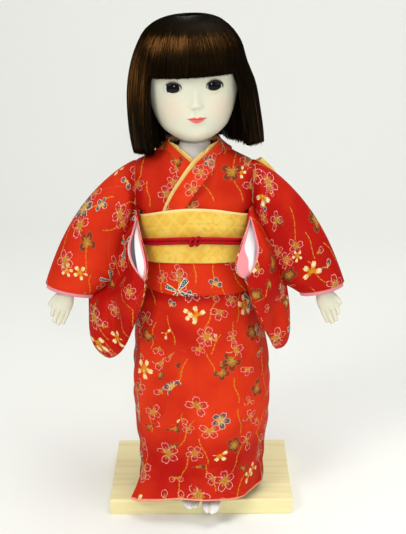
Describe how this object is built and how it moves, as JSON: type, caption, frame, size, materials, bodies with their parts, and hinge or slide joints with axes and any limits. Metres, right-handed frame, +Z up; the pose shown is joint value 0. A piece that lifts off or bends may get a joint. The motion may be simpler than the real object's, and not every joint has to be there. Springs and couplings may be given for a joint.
{
  "type": "ichimatsu doll",
  "caption": "Standing girl doll with bobbed hair in a long-sleeved kimono and brocade sash, on a wooden display board, with turning head, arms and hands.",
  "frame": {"origin": "on the underside of the display board, on the doll's own vertical axis", "axes": "+Z up, the doll faces -Y, the viewer's right is +X"},
  "size_m": [0.238, 0.1479, 0.3984],
  "materials": {
    "wood": "planed pale paulownia, unvarnished",
    "steel": "drawn wire",
    "composition": "pressed wood composition",
    "shell": "burnished shell-white coating",
    "cotton": "plain white cotton",
    "robe": "thin white cloth",
    "kimono": "red crepe with printed cherry blossom",
    "gold": "golden brocade",
    "card": "pasteboard",
    "cord": "braided crimson cord",
    "lining": "thin white lining with a pink edge",
    "eye_glass": "polished dark glass",
    "hair": "glossy dark brown fibre"
  },
  "bodies": {
    "stand": {"base_board": "wood", "support_post": "steel"},
    "doll_body": {"torso": "composition", "waist_padding": "cotton", "under_robe": "robe", "under_collar": "gold", "kimono_skirt": "kimono", "kimono_bodice": "kimono", "kimono_collar": "kimono", "obi_card": "card", "obi_sash": "gold", "obi_cord": "cord", "obi_cord_knot": "cord", "bow_upper_loop": "gold", "bow_lower_loop": "gold", "bow_band": "gold", "bow_hook": "steel", "leg_right": "shell", "leg_left": "shell", "tabi_sock_right": "cotton", "tabi_sock_left": "cotton", "shoulder_pin_right": "steel", "shoulder_pin_left": "steel"},
    "doll_head": {"head": "shell", "neck_dowel": "wood", "eye_right": "eye_glass", "eye_left": "eye_glass", "hair_bob": "hair", "hair_fringe": "hair"},
    "right_arm": {"arm_right": "cotton", "sleeve_right": "kimono", "sleeve_lining_right": "lining"},
    "left_arm": {"arm_left": "cotton", "sleeve_left": "kimono", "sleeve_lining_left": "lining"},
    "right_hand": {"hand_right": "shell", "hand_peg_right": "wood"},
    "left_hand": {"hand_left": "shell", "hand_peg_left": "wood"}
  },
  "joints": [
    {"name": "lift_off_stand", "type": "slide", "parent": "stand", "child": "doll_body", "axis": [0, 0, 1], "range_m": [0, 0.185]},
    {"name": "neck_turn", "type": "hinge", "parent": "doll_body", "child": "doll_head", "pos_m": [-0.003, 0, 0.295], "axis": [-0.0454, 0, 0.999], "range_deg": [-35, 35]},
    {"name": "shoulder_swing_right", "type": "hinge", "parent": "doll_body", "child": "right_arm", "pos_m": [-0.05, 0, 0.2635], "axis": [-1, 0, 0], "range_deg": [0, 60]},
    {"name": "shoulder_swing_left", "type": "hinge", "parent": "doll_body", "child": "left_arm", "pos_m": [0.042, 0, 0.2635], "axis": [-1, 0, 0], "range_deg": [0, 60]},
    {"name": "wrist_twist_right", "type": "hinge", "parent": "right_arm", "child": "right_hand", "pos_m": [-0.104, -0.008, 0.185], "axis": [-0.3564, -0.104, -0.9285], "range_deg": [-45, 45]},
    {"name": "wrist_twist_left", "type": "hinge", "parent": "left_arm", "child": "left_hand", "pos_m": [0.096, -0.008, 0.185], "axis": [0.3564, -0.104, -0.9285], "range_deg": [-45, 45]}
  ]
}
